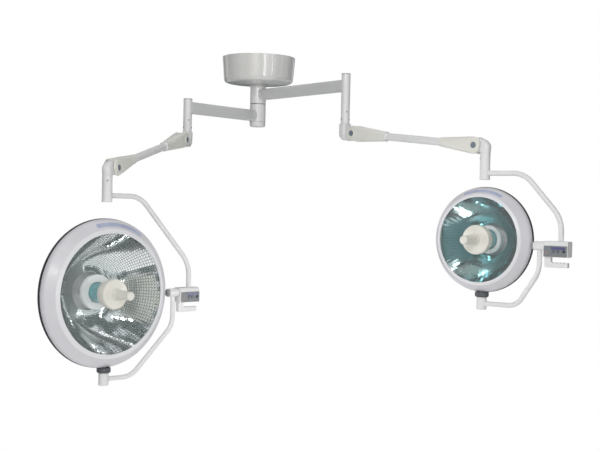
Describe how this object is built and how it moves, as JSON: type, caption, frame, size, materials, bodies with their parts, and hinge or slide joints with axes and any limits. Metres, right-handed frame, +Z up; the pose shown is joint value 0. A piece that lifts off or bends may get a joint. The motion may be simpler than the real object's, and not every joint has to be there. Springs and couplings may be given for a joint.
{
  "type": "surgical light",
  "caption": "Ceiling-hung operating light: extension arms and balanced spring arms carry round mirror lamp heads in tilting bows with control boxes.",
  "frame": {"origin": "centre of the ceiling plate's top face", "axes": "+Z up, out of the ceiling plate; +X towards the small head's side and -Y the way the heads face at rest"},
  "size_m": [2.414, 1.7179, 1.7249],
  "materials": {
    "paint": "satin white",
    "arm_paint": "satin light grey-white",
    "cover": "moulded, satin",
    "galvanised": "zinc plated",
    "steel": "ground",
    "dark": "matt",
    "panel": "membrane",
    "button": "moulded",
    "ivory": "satin",
    "mirror": "faceted, vacuum coated",
    "glass": "clear",
    "filter": "heat filter coating"
  },
  "bodies": {
    "ceiling_mount": {"ceiling_plate": "galvanised", "spindle": "steel", "canopy_cover": "paint", "canopy_collar": "paint", "hub_washer": "dark", "hub_end_cap": "paint"},
    "small_arm": {"small_extension_arm": "arm_paint", "small_drop_tube": "arm_paint"},
    "small_knuckle": {"small_knuckle": "paint"},
    "small_spring_arm": {"small_spring_arm_tube": "paint", "small_balance_spring": "steel", "small_rear_cover": "cover", "small_front_cover": "cover"},
    "small_elbow": {"small_elbow": "paint"},
    "small_yoke": {"small_upper_yoke": "paint", "small_control_box": "paint", "small_control_panel": "panel", "small_grip": "paint"},
    "small_bow": {"small_lower_bow": "paint"},
    "small_head": {"small_head_collar": "dark", "small_rear_dome": "paint", "small_gasket": "dark", "small_bezel": "paint", "small_reflector": "mirror", "small_front_glass": "glass", "small_centre_housing": "ivory"},
    "small_handle": {"small_handle": "ivory"},
    "small_bulb_carrier": {"small_lamp_holder": "ivory", "small_filter_glass": "filter", "small_bulb": "glass"},
    "small_button_1": {"small_button_1": "button"},
    "small_button_2": {"small_button_2": "button"},
    "small_button_3": {"small_button_3": "button"},
    "large_arm": {"large_extension_arm": "arm_paint", "large_drop_tube": "arm_paint"},
    "large_knuckle": {"large_knuckle": "paint"},
    "large_spring_arm": {"large_spring_arm_tube": "paint", "large_balance_spring": "steel", "large_rear_cover": "cover", "large_front_cover": "cover"},
    "large_elbow": {"large_elbow": "paint"},
    "large_yoke": {"large_upper_yoke": "paint", "large_control_box": "paint", "large_control_panel": "panel", "large_grip": "paint"},
    "large_bow": {"large_lower_bow": "paint"},
    "large_head": {"large_head_collar": "dark", "large_rear_dome": "paint", "large_gasket": "dark", "large_bezel": "paint", "large_reflector": "mirror", "large_front_glass": "glass", "large_centre_housing": "ivory"},
    "large_handle": {"large_handle": "ivory"},
    "large_bulb_carrier": {"large_lamp_holder": "ivory", "large_filter_glass": "filter", "large_bulb": "glass"},
    "large_button_1": {"large_button_1": "button"},
    "large_button_2": {"large_button_2": "button"},
    "large_button_3": {"large_button_3": "button"}
  },
  "joints": [
    {"name": "small_arm_swing", "type": "hinge", "parent": "ceiling_mount", "child": "small_arm", "pos_m": [0, 0, -0.217], "axis": [0, 0, 1], "range_deg": [-10, 90]},
    {"name": "small_swivel", "type": "hinge", "parent": "small_arm", "child": "small_knuckle", "pos_m": [0.49221, -0.58039, -0.473], "axis": [0, 0, 1], "range_deg": [-20, 60]},
    {"name": "small_lift", "type": "hinge", "parent": "small_knuckle", "child": "small_spring_arm", "pos_m": [0.5452, -0.62613, -0.473], "axis": [-0.6534, -0.757, 0], "range_deg": [-39, 21]},
    {"name": "small_level", "type": "hinge", "parent": "small_spring_arm", "child": "small_elbow", "pos_m": [1.10983, -1.11351, -0.5514], "axis": [-0.6534, -0.757, 0], "range_deg": [-21, 39]},
    {"name": "small_yoke_swivel", "type": "hinge", "parent": "small_elbow", "child": "small_yoke", "pos_m": [1.14541, -1.14422, -0.5514], "axis": [0, 0, 1], "range_deg": [-150, 150]},
    {"name": "small_bow_tilt", "type": "hinge", "parent": "small_yoke", "child": "small_bow", "pos_m": [1.14541, -1.14422, -1.0204], "axis": [0.81, -0.5864, 0], "range_deg": [-100, 100]},
    {"name": "small_head_turn", "type": "hinge", "parent": "small_bow", "child": "small_head", "pos_m": [1.14541, -1.14422, -1.0014], "axis": [0, 0, 1], "range_deg": [-120, 120]},
    {"name": "small_handle_twist", "type": "hinge", "parent": "small_head", "child": "small_handle", "pos_m": [1.14541, -1.14422, -1.0014], "axis": [-0.5864, -0.81, 0], "range_deg": [-60, 60]},
    {"name": "small_focus_slide", "type": "slide", "parent": "small_head", "child": "small_bulb_carrier", "axis": [-0.5864, -0.81, 0], "range_m": [-0.00785, 0.00785]},
    {"name": "small_button_1_press", "type": "slide", "parent": "small_yoke", "child": "small_button_1", "axis": [0.5864, 0.81, 0], "range_m": [0, 0.0025], "stiffness_N_per_m": 500},
    {"name": "small_button_2_press", "type": "slide", "parent": "small_yoke", "child": "small_button_2", "axis": [0.5864, 0.81, 0], "range_m": [0, 0.0025], "stiffness_N_per_m": 500},
    {"name": "small_button_3_press", "type": "slide", "parent": "small_yoke", "child": "small_button_3", "axis": [0.5864, 0.81, 0], "range_m": [0, 0.0025], "stiffness_N_per_m": 500},
    {"name": "large_arm_swing", "type": "hinge", "parent": "ceiling_mount", "child": "large_arm", "pos_m": [0, 0, -0.339], "axis": [0, 0, 1], "range_deg": [-90, 10]},
    {"name": "large_swivel", "type": "hinge", "parent": "large_arm", "child": "large_knuckle", "pos_m": [-0.35826, -0.44719, -0.5175], "axis": [0, 0, 1], "range_deg": [-60, 20]},
    {"name": "large_lift", "type": "hinge", "parent": "large_knuckle", "child": "large_spring_arm", "pos_m": [-0.3814, -0.51325, -0.5175], "axis": [-0.9438, 0.3305, 0], "range_deg": [-31, 29]},
    {"name": "large_level", "type": "hinge", "parent": "large_spring_arm", "child": "large_elbow", "pos_m": [-0.62192, -1.20008, -0.69894], "axis": [-0.9438, 0.3305, 0], "range_deg": [-29, 31]},
    {"name": "large_yoke_swivel", "type": "hinge", "parent": "large_elbow", "child": "large_yoke", "pos_m": [-0.63746, -1.24444, -0.69894], "axis": [0, 0, 1], "range_deg": [-150, 150]},
    {"name": "large_bow_tilt", "type": "hinge", "parent": "large_yoke", "child": "large_bow", "pos_m": [-0.63746, -1.24444, -1.30294], "axis": [0.7266, 0.6871, 0], "range_deg": [-100, 100]},
    {"name": "large_head_turn", "type": "hinge", "parent": "large_bow", "child": "large_head", "pos_m": [-0.63746, -1.24444, -1.29094], "axis": [0, 0, 1], "range_deg": [-120, 120]},
    {"name": "large_handle_twist", "type": "hinge", "parent": "large_head", "child": "large_handle", "pos_m": [-0.63746, -1.24444, -1.29094], "axis": [0.7193, -0.6947, 0], "range_deg": [-60, 60]},
    {"name": "large_focus_slide", "type": "slide", "parent": "large_head", "child": "large_bulb_carrier", "axis": [0.7193, -0.6947, 0], "range_m": [-0.00785, 0.00785]},
    {"name": "large_button_1_press", "type": "slide", "parent": "large_yoke", "child": "large_button_1", "axis": [-0.6871, 0.7266, 0], "range_m": [0, 0.0025], "stiffness_N_per_m": 500},
    {"name": "large_button_2_press", "type": "slide", "parent": "large_yoke", "child": "large_button_2", "axis": [-0.6871, 0.7266, 0], "range_m": [0, 0.0025], "stiffness_N_per_m": 500},
    {"name": "large_button_3_press", "type": "slide", "parent": "large_yoke", "child": "large_button_3", "axis": [-0.6871, 0.7266, 0], "range_m": [0, 0.0025], "stiffness_N_per_m": 500}
  ],
  "couplings": [
    {"joint": "small_level", "follows": "small_lift", "ratio": -1},
    {"joint": "small_handle_twist", "follows": "small_focus_slide", "rad_per_m": 133.33},
    {"joint": "large_level", "follows": "large_lift", "ratio": -1},
    {"joint": "large_handle_twist", "follows": "large_focus_slide", "rad_per_m": 133.33}
  ]
}
